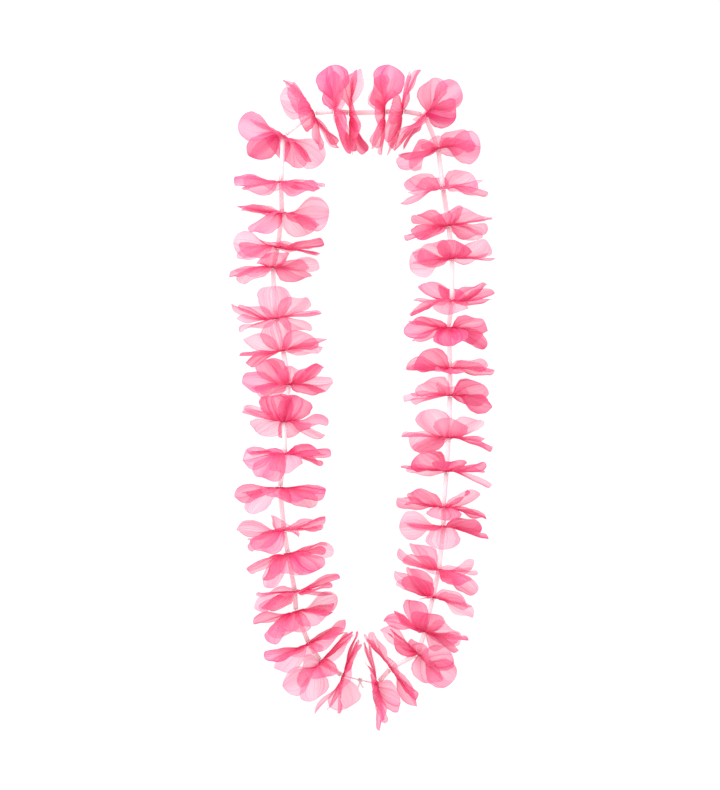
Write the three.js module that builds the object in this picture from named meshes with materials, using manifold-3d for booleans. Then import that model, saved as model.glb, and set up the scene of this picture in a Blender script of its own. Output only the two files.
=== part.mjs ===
// A fabric flower lei, laid flat in a tall oval. Millimetres, +Z up, the surface it lies on at z = 0.
// One thread runs through everything and is tied at the bottom. On it hang 42 flowers, each with a small
// collar and two layers of four petals, and a length of drinking straw keeps each pair apart.

import * as THREE from 'three';
import { mergeVertices } from 'three/addons/utils/BufferGeometryUtils.js';
import Module from 'manifold-3d';

const wasm = await Module();
wasm.setup();

// Driving dimensions
const THREAD_HEIGHT = 22;
const THREAD_RADIUS = 0.5;
const STRAW_OUTER_RADIUS = 1.75;
const STRAW_INNER_RADIUS = 1.05;
const STRAW_END_GAP = 0.35;
const STRAW_SINK = 0.1;
const KNOT_RADIUS = 0.8;
const KNOT_TAIL = 7;
const COLLAR_RADIUS = 2.9;
const COLLAR_HOLE_RADIUS = 1.4;
const COLLAR_HEIGHT = 1.8;
const PETAL_LENGTH = 31;
const PETAL_HALF_WIDTH = 13;
const PETAL_THICKNESS = 0.8;

// How a petal is cut: where it is widest, and its half widths at the root and the tip as shares of that
const ROOT_SHARE = 0.2;
const TIP_SHARE = 0.45;
const WIDEST_AT = 0.68;
// How a petal is shaped: the shares of its length within which it bends, swings round the thread and turns
// its face, the angle between the two layers, and the seeded spreads of face, curl, cup and length
const CREASE_SHARE = 0.3;
const SWEEP_SHARE = 0.5;
const FACE_SHARE = 0.6;
const LAYER_FAN = 5;
const FACE_SPREAD = 12;
const CURL_SPREAD = 14;
const CUP_SPREAD = 0.16;
const LENGTH_SPREAD = 0.06;
// How the petals settle: the share of the room between two flowers that they may lean across, the rounds it
// takes, the degrees that a petal fills to each side round the thread and, with its broad face up, along it,
// how much of its turn a petal keeps each time that it is squeezed from both sides, the least height of a
// petal that points at the surface, and how softly the petals flatten there
const LEAN_SHARE = 0.78;
const SETTLE_ROUNDS = 40;
const PETAL_REACH = 25;
const FACE_REACH = 22;
const FACE_KEPT = 0.94;
const TIP_CLEARANCE = 1.5;
const FLOOR_EASE = 3;

// How finely it is made: sides round the thread, a straw and the knot, and steps round the knot and along a
// petal. A petal's slope is measured over the two small steps, along it and across it.
const THREAD_SIDES = 4;
const STRAW_SIDES = 5;
const KNOT_SIDES = 5;
const KNOT_STEPS = 8;
const PETAL_RINGS = [0.35, 0.76, 1];
const SPINE_STEPS = 24;
const SLOPE_ALONG = 0.02;
const SLOPE_ACROSS = 0.2;
const PETALS = 8;
const SEED = 7;
const WELD = 0.0001;

// The gap between two flowers that has no straw, only the tied thread: the one after this flower
const KNOT_AFTER = 17;
// The knot's turns, each a place along the thread and a tilt in degrees, and the ways its two tails point
const KNOT_TURNS = [[-0.9, 35], [0, -40], [0.9, 20]];
const KNOT_TAILS = [[0.4, -0.5], [-0.3, -0.3]];

// One row a flower, in the order of the thread: down the left side, along the bottom, up the right side and
// back over the top. A row gives the collar's x and y, and in degrees the turn of its first petal away from
// the oval's outside, the bend of its eight petals along the thread, positive towards the next flower, and
// how far each petal turns its broad face up. The petals go from the outside over the top of the flower to
// the inside, and back underneath.
const FLOWERS = [
  [-61.5, 198.0, 5, [15, -50, -60, -30, 15, 60, 75, 60], [70, 0, 0, 0, 70, 20, 20, 0]],
  [-63.0, 163.5, -5, [0, 16, 25, 14, 0, 5, -5, -5], [25, 30, 0, 20, 0, 10, 0, 10]],
  [-62.3, 140.3, 8, [-4, 28, 5, 30, 2, 28, -8, -8], [10, 0, 0, 15, 70, 20, 0, 10]],
  [-65.3, 114.8, -8, [15, 25, 8, -18, -14, -8, 0, 10], [50, 0, 0, 10, 20, 10, 0, 10]],
  [-69.0, 99.8, 0, [22, 20, -25, -20, 0, 12, 15, 22], [0, 20, 10, 20, 30, 20, 0, 0]],
  [-67.5, 61.5, 5, [-24, -30, -60, -38, 5, 15, 15, -12], [0, 0, 20, 20, 0, 0, 0, 0]],
  [-61.5, 37.5, -3, [-5, -42, -50, -22, 0, 6, 5, 8], [0, 0, 20, 30, 20, 10, 0, 10]],
  [-57.0, 12.0, 3, [20, -48, -20, -40, 2, 8, 30, 12], [40, 30, 0, 0, 15, 0, 0, 30]],
  [-60.8, -15.8, -20, [-12, -32, -45, -50, 3, 35, 48, 35], [0, 20, 20, 20, 10, 0, 20, 20]],
  [-60.0, -40.5, 5, [22, 42, 52, -8, -6, -5, 5, -28], [30, 20, 20, 10, 20, 10, 0, 0]],
  [-63.8, -66.0, -5, [22, 35, 48, 42, 30, 28, 15, 8], [20, 0, 20, 10, 25, 20, 0, 0]],
  [-60.8, -97.5, 5, [-2, 25, -35, -30, -12, 10, 20, 25], [30, 20, 30, 10, 20, 0, 0, 10]],
  [-57.8, -115.5, -3, [20, 60, 42, 42, 12, -28, 15, 42], [15, 10, 20, 20, 25, 0, 0, 0]],
  [-52.5, -144.0, 0, [20, 18, 0, -12, -11, 5, 0, 20], [20, 15, 0, 0, 0, 0, 0, 10]],
  [-51.8, -159.0, -10, [8, 50, 42, 35, 20, 10, 25, 45], [20, 10, 20, 20, 40, 20, 0, 0]],
  [-42.0, -183.0, -8, [-14, 0, 20, 28, 10, 8, 10, 5], [20, 30, 10, 20, 30, 0, 0, 0]],
  [-33.0, -196.5, -10, [-12, 30, 60, 40, 26, 12, 0, -36], [40, 30, 30, 10, 10, 0, 0, 20]],
  [-16.5, -207.0, 3, [-18, -12, 5, 32, 28, 25, 10, 20], [15, 30, 0, 0, 10, 0, 0, 50]],
  [9.0, -213.0, 18, [0, 40, -8, -14, 22, -20, 5, -12], [15, 0, 0, 0, 10, 0, 0, 15]],
  [19.5, -201.0, -8, [-4, 5, 18, 20, 20, 20, 5, 5], [15, 0, 0, 0, 20, 0, 0, 0]],
  [39.8, -190.5, 0, [16, 40, 22, -20, -38, -25, 10, -40], [60, 30, 10, 0, 40, 20, 0, 30]],
  [45.0, -173.3, 2, [8, 38, 68, 50, 5, -25, -20, -25], [0, 20, 0, 15, 20, 20, 0, 30]],
  [51.0, -147.8, -4, [-34, 10, -8, 35, 30, 38, 20, 5], [25, 30, 0, 20, 30, 0, 0, 20]],
  [55.5, -127.5, 3, [-22, -30, 0, 40, 22, 30, 8, -12], [35, 20, 0, 20, 20, 0, 0, 30]],
  [58.9, -94.9, 0, [-12, 4, -42, -10, 2, -10, -5, 12], [20, 20, 0, 10, 45, 10, 0, 20]],
  [58.9, -80.3, 0, [-6, 30, -10, 22, 9, -4, 42, -12], [10, 10, 0, 10, 15, 0, 30, 0]],
  [61.2, -53.0, -4, [-11, 10, 20, 14, 4, -4, -8, -8], [10, 0, 0, 30, 10, 0, 0, 0]],
  [62.6, -27.8, -3, [-10, 52, 40, 52, 6, -25, -28, -10], [10, 20, 0, 20, 0, 30, 0, 10]],
  [63.8, 3.8, -3, [-18, 34, 35, 28, 0, -4, -8, -20], [30, 30, 20, 30, 20, 0, 0, 20]],
  [63.8, 24.0, -2, [-4, 4, -10, 14, 8, -6, 5, 30], [0, 10, 0, 30, 30, 0, 0, 30]],
  [62.7, 54.2, -4, [-28, 5, -28, 12, -8, 0, -12, -42], [15, 35, 0, 0, 40, 0, 0, 10]],
  [65.3, 74.3, 3, [20, 26, -16, -14, -22, 50, 60, -3], [0, 0, 0, 0, 0, 20, 20, 20]],
  [65.3, 106.5, -4, [-4, 18, 28, 14, 4, -16, -12, -4], [0, 20, 20, 20, 50, 30, 0, 20]],
  [62.7, 131.3, 2, [10, 18, 55, 48, -16, -32, -30, -24], [0, 20, 20, 20, 0, 20, 0, 20]],
  [58.5, 159.0, -2, [-12, -26, -3, -12, -17, 48, 45, 42], [0, 20, 0, 0, 0, 30, 0, 40]],
  [54.8, 189.0, 0, [-15, 10, 65, 15, 0, -10, -20, 8], [70, 40, 0, 60, 40, 0, 0, 30]],
  [45.0, 213.8, -6, [0, 42, 10, 0, -8, -8, -8, -45], [60, 30, 0, 60, 0, 0, 0, 40]],
  [27.8, 216.8, -2, [-18, -10, 25, 10, 32, 15, 0, -15], [0, 0, 0, 0, 0, 0, 0, 10]],
  [14.3, 216.0, 8, [-6, 38, 80, 45, 48, 30, 0, 30], [65, 20, 0, 0, 0, 0, 0, 30]],
  [-11.0, 215.3, 20, [-5, -12, 20, -32, -36, -20, 0, 10], [20, 20, 0, 15, 20, 0, 0, 40]],
  [-22.5, 216.8, -6, [8, -28, -8, -30, -22, -15, 5, 12], [65, 40, 0, 20, 40, 10, 0, 30]],
  [-39.0, 215.3, 0, [20, 55, 80, 65, -35, -20, 20, 25], [5, 40, 20, 0, 10, 0, 0, 30]],
];

const TO_RADIANS = Math.PI / 180;
const UP = new THREE.Vector3(0, 0, 1);

// A seeded random number from -1 to 1
function seededSpread(seed) {
  let state = seed;
  return () => {
    state = (state + 0x6d2b79f5) | 0;
    let mixed = Math.imul(state ^ (state >>> 15), 1 | state);
    mixed = (mixed + Math.imul(mixed ^ (mixed >>> 7), 61 | mixed)) ^ mixed;
    return ((mixed ^ (mixed >>> 14)) >>> 0) / 2147483648 - 1;
  };
}

// Each flower's place: its centre, the thread's direction, the outward direction, and the way to the next one
function placeFlowers() {
  const centres = FLOWERS.map(([x, y]) => new THREE.Vector3(x, y, THREAD_HEIGHT));
  const count = centres.length;
  return centres.map((centre, index) => {
    const before = centres[(index + count - 1) % count];
    const after = centres[(index + 1) % count];
    const along = after.clone().sub(before).normalize();
    const outward = new THREE.Vector3(along.y, -along.x, 0);
    return { centre, along, outward, pitch: centre.distanceTo(after) };
  });
}

// The eight petals of a flower. One that would point into the surface is turned to the nearer side instead,
// and the side of a petal that its bend turns up a little is the one that its face turns up further.
function layPetals(index, random) {
  const [, , turn, bends, faces] = FLOWERS[index];
  const drop = THREAD_HEIGHT - TIP_CLEARANCE;
  return bends.map((bend, number) => {
    const root = turn + (360 / PETALS) * number;
    let azimuth = root;
    const reach = PETAL_LENGTH * Math.cos(bend * TO_RADIANS);
    if (-reach * Math.sin(azimuth * TO_RADIANS) > drop) {
      const lowest = Math.asin(drop / reach) / TO_RADIANS;
      azimuth = azimuth < 270 ? 180 + lowest : 360 - lowest;
    }
    const side = bend * Math.sin(2 * root * TO_RADIANS) < 0 ? -1 : 1;
    return {
      root,
      azimuth,
      bend,
      layer: number % 2,
      face: side * faces[number] + random() * FACE_SPREAD,
      curl: random() * CURL_SPREAD,
      cup: random() * CUP_SPREAD,
      length: PETAL_LENGTH * (1 + random() * LENGTH_SPREAD),
    };
  });
}

// How far a petal's edge stands from its middle line along the thread, in degrees
function edgeLean(petal) {
  return FACE_REACH * Math.abs(Math.sin(petal.face * TO_RADIANS));
}

// The bend of a flower's petals at any azimuth, read between the two nearest petals: of their edges towards
// the next flower if edge is 1, and towards the last one if it is -1
function bendAt(petals, azimuth, edge) {
  const wrapped = ((azimuth % 360) + 360) % 360;
  let low = null;
  let high = null;
  for (const petal of petals) {
    const ahead = (((petal.azimuth - wrapped) % 360) + 360) % 360;
    const behind = (360 - ahead) % 360;
    const bend = petal.bend + edge * edgeLean(petal);
    if (!high || ahead < high.away) high = { away: ahead, bend };
    if (!low || behind < low.away) low = { away: behind, bend };
  }
  const span = low.away + high.away;
  if (span === 0) return low.bend;
  return (low.bend * high.away + high.bend * low.away) / span;
}

// How far two flowers' petals may lean towards each other at an azimuth, in degrees: less where they stand
// close, and less on the inside of a curve of the thread
function leanLimit(place, next, azimuth) {
  const open = 2 * Math.asin(Math.min(1, place.pitch / (2 * PETAL_LENGTH))) / TO_RADIANS;
  const turned = Math.asin(place.along.x * next.along.y - place.along.y * next.along.x) / TO_RADIANS;
  return LEAN_SHARE * open + turned * Math.cos(azimuth * TO_RADIANS);
}

// Petals press against their neighbours' until each pair of flowers leans together no more than it has room
function settlePetals(places, flowers) {
  const count = flowers.length;
  for (let round = 0; round < SETTLE_ROUNDS; round += 1) {
    for (let index = 0; index < count; index += 1) {
      const next = (index + 1) % count;
      const last = (index + count - 1) % count;
      for (const petal of flowers[index]) {
        let ahead = 0;
        let behind = 0;
        for (const side of [-PETAL_REACH, 0, PETAL_REACH]) {
          const azimuth = petal.azimuth + side;
          const roomAhead = leanLimit(places[index], places[next], azimuth);
          const roomBehind = leanLimit(places[last], places[index], azimuth);
          const front = petal.bend + edgeLean(petal) - bendAt(flowers[next], azimuth, -1);
          const back = bendAt(flowers[last], azimuth, 1) - petal.bend + edgeLean(petal);
          ahead = Math.max(ahead, front - roomAhead);
          behind = Math.max(behind, back - roomBehind);
        }
        petal.bend += (behind - ahead) / 2;
        if (ahead > 0 && behind > 0) petal.face *= FACE_KEPT;
      }
    }
  }
}

function smoothStep(value) {
  const part = Math.min(1, Math.max(0, value));
  return part * part * (3 - 2 * part);
}

function halfWidth(part) {
  if (part < WIDEST_AT) {
    const rise = Math.sin((part / WIDEST_AT) * (Math.PI / 2));
    return PETAL_HALF_WIDTH * (ROOT_SHARE + (1 - ROOT_SHARE) * rise);
  }
  const past = Math.min(1, (part - WIDEST_AT) / (1 - WIDEST_AT));
  return PETAL_HALF_WIDTH * Math.sqrt(1 - (1 - TIP_SHARE * TIP_SHARE) * past * past);
}

// Height over the surface, eased so that a petal bends flat onto it and never goes below
function restOnSurface(height) {
  const over = height - PETAL_THICKNESS / 2;
  if (over >= FLOOR_EASE) return height;
  const eased = over <= -FLOOR_EASE ? 0 : (over + FLOOR_EASE) ** 2 / (4 * FLOOR_EASE);
  return PETAL_THICKNESS / 2 + eased;
}

// The direction away from the thread at an azimuth
function aroundThread(place, azimuth) {
  const angle = azimuth * TO_RADIANS;
  return place.outward.clone().multiplyScalar(Math.cos(angle)).addScaledVector(UP, Math.sin(angle));
}

// The middle surface of a petal: part runs 0 to 1 along it, and side -1 to 1 across it
function petalSurface(place, petal) {
  const bend = (petal.bend + LAYER_FAN * (2 * petal.layer - 1)) * TO_RADIANS;
  const curl = petal.curl * TO_RADIANS;
  const lean = (part) => bend * smoothStep(part / CREASE_SHARE) + curl * part * part;
  const spine = [{ out: COLLAR_RADIUS, forward: 0 }];
  for (let step = 0; step < SPINE_STEPS; step += 1) {
    const angle = lean((step + 0.5) / SPINE_STEPS);
    const stride = petal.length / SPINE_STEPS;
    const { out, forward } = spine[step];
    spine.push({ out: out + stride * Math.cos(angle), forward: forward + stride * Math.sin(angle) });
  }
  return (part, side) => {
    const whole = Math.min(SPINE_STEPS - 1, Math.floor(part * SPINE_STEPS));
    const rest = part * SPINE_STEPS - whole;
    const out = THREE.MathUtils.lerp(spine[whole].out, spine[whole + 1].out, rest);
    const forward = THREE.MathUtils.lerp(spine[whole].forward, spine[whole + 1].forward, rest);
    const azimuth = THREE.MathUtils.lerp(petal.root, petal.azimuth, smoothStep(part / SWEEP_SHARE));
    const radial = aroundThread(place, azimuth);
    const sideways = aroundThread(place, azimuth + 90);
    const angle = lean(part);
    const normal = place.along.clone().multiplyScalar(Math.cos(angle));
    normal.addScaledVector(radial, -Math.sin(angle));
    const turn = petal.face * smoothStep(part / FACE_SHARE) * TO_RADIANS;
    const across = sideways.clone().multiplyScalar(Math.cos(turn)).addScaledVector(normal, Math.sin(turn));
    const proud = normal.clone().multiplyScalar(Math.cos(turn)).addScaledVector(sideways, -Math.sin(turn));
    const width = halfWidth(part);
    const point = place.centre.clone();
    point.addScaledVector(radial, out).addScaledVector(place.along, forward);
    point.addScaledVector(across, side * width).addScaledVector(proud, petal.cup * width * side * side);
    point.z = restOnSurface(point.z);
    return point;
  };
}

// A corner of the collar, which has one side for each petal
function collarCorner(place, root, corner, radius, height) {
  const direction = aroundThread(place, root + (corner - 0.5) * (360 / PETALS));
  return place.centre.clone().addScaledVector(direction, radius).addScaledVector(place.along, height);
}

// The four points of a petal's section: its two cut edges, which both faces share, and its middle line
function petalRing(surface, part) {
  const forward = surface(part + SLOPE_ALONG, 0).sub(surface(part - SLOPE_ALONG, 0));
  const sideways = surface(part, SLOPE_ACROSS).sub(surface(part, -SLOPE_ACROSS));
  const thickness = part === 1 ? 0 : PETAL_THICKNESS / 2;
  const proud = forward.cross(sideways).normalize().multiplyScalar(thickness);
  const middle = surface(part, 0);
  return [surface(part, -1), middle.clone().sub(proud), surface(part, 1), middle.clone().add(proud)];
}

// A petal is a thin blade, thickest along its middle line. It starts as one side of the collar. Past its
// first ring both faces are cut into triangles along the same lines, so that they stay apart where it twists.
function petalGeometry(place, petal) {
  const surface = petalSurface(place, petal);
  const front = COLLAR_HEIGHT / 2;
  const points = [
    collarCorner(place, petal.root, 0, COLLAR_RADIUS, front),
    collarCorner(place, petal.root, 1, COLLAR_RADIUS, front),
    collarCorner(place, petal.root, 1, COLLAR_RADIUS, -front),
    collarCorner(place, petal.root, 0, COLLAR_RADIUS, -front),
  ];
  const faces = [0, 2, 1, 0, 3, 2];
  PETAL_RINGS.forEach((part, ring) => {
    points.push(...petalRing(surface, part));
    for (let corner = 0; corner < 4; corner += 1) {
      const next = (corner + 1) % 4;
      const low = 4 * ring;
      const high = low + 4;
      if (ring === 0 || corner % 2 === 0) {
        faces.push(low + corner, low + next, high + next, low + corner, high + next, high + corner);
      } else {
        faces.push(low + corner, low + next, high + corner, low + next, high + next, high + corner);
      }
    }
  });
  return new THREE.BufferGeometry().setFromPoints(points).setIndex(faces);
}

// The collar is the gathered middle of the flower's two layers, with the thread's hole through it
function collarGeometry(place, root) {
  const points = [];
  const faces = [];
  const section = [
    [COLLAR_HOLE_RADIUS, -COLLAR_HEIGHT / 2],
    [COLLAR_HOLE_RADIUS, COLLAR_HEIGHT / 2],
    [COLLAR_RADIUS, COLLAR_HEIGHT / 2],
    [COLLAR_RADIUS, -COLLAR_HEIGHT / 2],
  ];
  for (let corner = 0; corner < PETALS; corner += 1) {
    for (const [radius, height] of section) points.push(collarCorner(place, root, corner, radius, height));
    for (let side = 0; side < 4; side += 1) {
      const low = 4 * corner;
      const high = (4 * corner + 4) % (4 * PETALS);
      const next = (side + 1) % 4;
      faces.push(low + side, high + next, low + next, low + side, high + side, high + next);
    }
  }
  return new THREE.BufferGeometry().setFromPoints(points).setIndex(faces);
}

// A closed ring: its profile goes round the axis once
function ringGeometry(innerRadius, outerRadius, height, sides) {
  const profile = [
    new THREE.Vector2(innerRadius, -height / 2),
    new THREE.Vector2(outerRadius, -height / 2),
    new THREE.Vector2(outerRadius, height / 2),
    new THREE.Vector2(innerRadius, height / 2),
    new THREE.Vector2(innerRadius, -height / 2),
  ];
  return new THREE.LatheGeometry(profile, sides, Math.PI / sides);
}

// Turns a geometry whose axis is +Y to a direction, and moves it to a place
function aimAt(geometry, centre, direction) {
  const turn = new THREE.Quaternion().setFromUnitVectors(new THREE.Vector3(0, 1, 0), direction);
  return geometry.applyQuaternion(turn).translate(centre.x, centre.y, centre.z);
}

function toSolid(geometry) {
  const bare = geometry.clone();
  bare.deleteAttribute('normal');
  bare.deleteAttribute('uv');
  const welded = mergeVertices(bare, WELD);
  return new wasm.Manifold(new wasm.Mesh({
    numProp: 3,
    vertProperties: new Float32Array(welded.getAttribute('position').array),
    triVerts: new Uint32Array(welded.getIndex().array),
  }));
}

function joinSolids(geometries) {
  return geometries.map(toSolid).reduce((whole, piece) => whole.add(piece));
}

function solidMesh(name, solid, material) {
  const { vertProperties, triVerts } = solid.getMesh();
  const geometry = new THREE.BufferGeometry();
  geometry.setAttribute('position', new THREE.BufferAttribute(vertProperties, 3));
  geometry.setIndex(new THREE.BufferAttribute(triVerts, 1));
  geometry.computeVertexNormals();
  const mesh = new THREE.Mesh(geometry, material);
  mesh.name = name;
  return mesh;
}

function flowerSolid(place, petals) {
  const collar = collarGeometry(place, petals[0].root);
  return joinSolids([collar, ...petals.map((petal) => petalGeometry(place, petal))]);
}

// The thread runs straight from collar to collar and turns in each
function threadGeometry(places) {
  const count = places.length;
  const points = [];
  const faces = [];
  for (let link = 0; link < count; link += 1) {
    for (let side = 0; side < THREAD_SIDES; side += 1) {
      const direction = aroundThread(places[link], side * (360 / THREAD_SIDES));
      points.push(places[link].centre.clone().addScaledVector(direction, THREAD_RADIUS));
      const next = (side + 1) % THREAD_SIDES;
      const low = THREAD_SIDES * link;
      const high = THREAD_SIDES * ((link + 1) % count);
      faces.push(low + side, high + next, low + next, low + side, high + side, high + next);
    }
  }
  return new THREE.BufferGeometry().setFromPoints(points).setIndex(faces);
}

// How far a straw's end stays from a collar's centre: clear of the collar, however it is turned to the straw
function strawEnd(place, way) {
  const square = Math.min(1, place.along.dot(way));
  return (COLLAR_HEIGHT / 2) * square + COLLAR_RADIUS * Math.sqrt(1 - square * square) + STRAW_END_GAP;
}

// A straw hangs on the thread, which lies in the top of its bore
function strawGeometry(place, next) {
  const way = next.centre.clone().sub(place.centre).normalize();
  const start = strawEnd(place, way);
  const end = place.pitch - strawEnd(next, way);
  const straw = ringGeometry(STRAW_INNER_RADIUS, STRAW_OUTER_RADIUS, end - start, STRAW_SIDES);
  const middle = place.centre.clone().addScaledVector(way, (start + end) / 2);
  const flat = Math.cos(Math.PI / STRAW_SIDES);
  middle.z -= (STRAW_INNER_RADIUS - THREAD_RADIUS) * flat + STRAW_SINK;
  return aimAt(straw, middle, way);
}

// The knot is three tight turns of the thread, with two short tails
function knotGeometries(place, next) {
  const way = next.centre.clone().sub(place.centre).normalize();
  const middle = place.centre.clone().add(next.centre).multiplyScalar(0.5);
  const turns = KNOT_TURNS.map(([offset, tilt]) => {
    const turn = new THREE.TorusGeometry(KNOT_RADIUS, THREAD_RADIUS, KNOT_SIDES, KNOT_STEPS);
    turn.rotateX(Math.PI / 2 + tilt * TO_RADIANS);
    return aimAt(turn, middle.clone().addScaledVector(way, offset), way);
  });
  const tails = KNOT_TAILS.map(([lean, dip]) => {
    const direction = new THREE.Vector3(lean, -1, dip).normalize();
    const tail = new THREE.CylinderGeometry(THREAD_RADIUS, THREAD_RADIUS, KNOT_TAIL, KNOT_SIDES);
    return aimAt(tail, middle.clone().addScaledVector(direction, KNOT_TAIL / 2), direction);
  });
  return [...turns, ...tails];
}

function strandSolid(places) {
  const count = places.length;
  const pieces = [threadGeometry(places)];
  for (let index = 0; index < count; index += 1) {
    const next = places[(index + 1) % count];
    if (index === KNOT_AFTER) pieces.push(...knotGeometries(places[index], next));
    else pieces.push(strawGeometry(places[index], next));
  }
  return joinSolids(pieces);
}

const petalMaterial = new THREE.MeshStandardMaterial({
  color: 0xff6b9c, roughness: 0.7, metalness: 0, side: THREE.DoubleSide,
});
const strawMaterial = new THREE.MeshStandardMaterial({ color: 0xfdeef2, roughness: 0.4, metalness: 0 });

const lei = new THREE.Group();
const places = placeFlowers();
const random = seededSpread(SEED);
const flowers = FLOWERS.map((row, index) => layPetals(index, random));
settlePetals(places, flowers);

lei.add(solidMesh('strand', strandSolid(places), strawMaterial));
places.forEach((place, index) => {
  const name = `flower_${String(index + 1).padStart(2, '0')}`;
  lei.add(solidMesh(name, flowerSolid(place, flowers[index]), petalMaterial));
});

// The whole part is moved so that the middle of its box is at x = 0 and y = 0, and its lowest point at z = 0
const box = new THREE.Box3().setFromObject(lei);
const middle = box.getCenter(new THREE.Vector3());
for (const mesh of lei.children) mesh.geometry.translate(-middle.x, -middle.y, -box.min.z);

export default lei;
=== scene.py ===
# A garland of sheer fabric flowers on a thread with straw spacers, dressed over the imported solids.
# Lengths in the tables and rules are millimetres, as in the part's source. Blender's are metres.
import math

import bpy
import numpy as np
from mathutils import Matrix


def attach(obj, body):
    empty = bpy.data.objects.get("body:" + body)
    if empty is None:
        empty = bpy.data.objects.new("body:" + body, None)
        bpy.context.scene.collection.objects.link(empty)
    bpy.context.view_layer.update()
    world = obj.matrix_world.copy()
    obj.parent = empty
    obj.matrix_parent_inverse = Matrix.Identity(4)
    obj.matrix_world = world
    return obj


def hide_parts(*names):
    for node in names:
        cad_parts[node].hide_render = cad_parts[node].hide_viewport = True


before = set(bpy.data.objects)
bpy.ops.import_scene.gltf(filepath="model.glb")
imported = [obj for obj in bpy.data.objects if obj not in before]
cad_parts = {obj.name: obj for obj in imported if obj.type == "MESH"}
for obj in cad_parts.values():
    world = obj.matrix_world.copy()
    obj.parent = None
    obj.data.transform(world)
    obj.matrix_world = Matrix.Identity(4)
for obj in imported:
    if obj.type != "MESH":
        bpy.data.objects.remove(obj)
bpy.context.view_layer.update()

# The solids' driving dimensions and rules, which the finer pieces follow
MM = 0.001
THREAD_HEIGHT = 22
THREAD_RADIUS = 0.5
STRAW_OUTER_RADIUS = 1.75
STRAW_END_GAP = 0.35
KNOT_RADIUS = 0.8
KNOT_TAIL = 7
COLLAR_RADIUS = 2.9
COLLAR_HEIGHT = 1.8
PETAL_LENGTH = 31
PETAL_HALF_WIDTH = 13
ROOT_SHARE = 0.2
WIDEST_AT = 0.68
CREASE_SHARE = 0.3
SWEEP_SHARE = 0.5
FACE_SHARE = 0.6
LAYER_FAN = 5
FACE_SPREAD = 12
CURL_SPREAD = 14
CUP_SPREAD = 0.16
LENGTH_SPREAD = 0.06
LEAN_SHARE = 0.78
SETTLE_ROUNDS = 40
PETAL_REACH = 25
FACE_REACH = 22
FACE_KEPT = 0.94
TIP_CLEARANCE = 1.5
FLOOR_EASE = 3
SPINE_STEPS = 24
PETALS = 8
SEED = 7
KNOT_AFTER = 17
KNOT_TAILS = ((0.4, -0.5), (-0.3, -0.3))
# The middle of the solids' box before they were centred, and their lowest point
CENTRING = np.array([-2.2769, 2.2495, 0.0])

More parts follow.
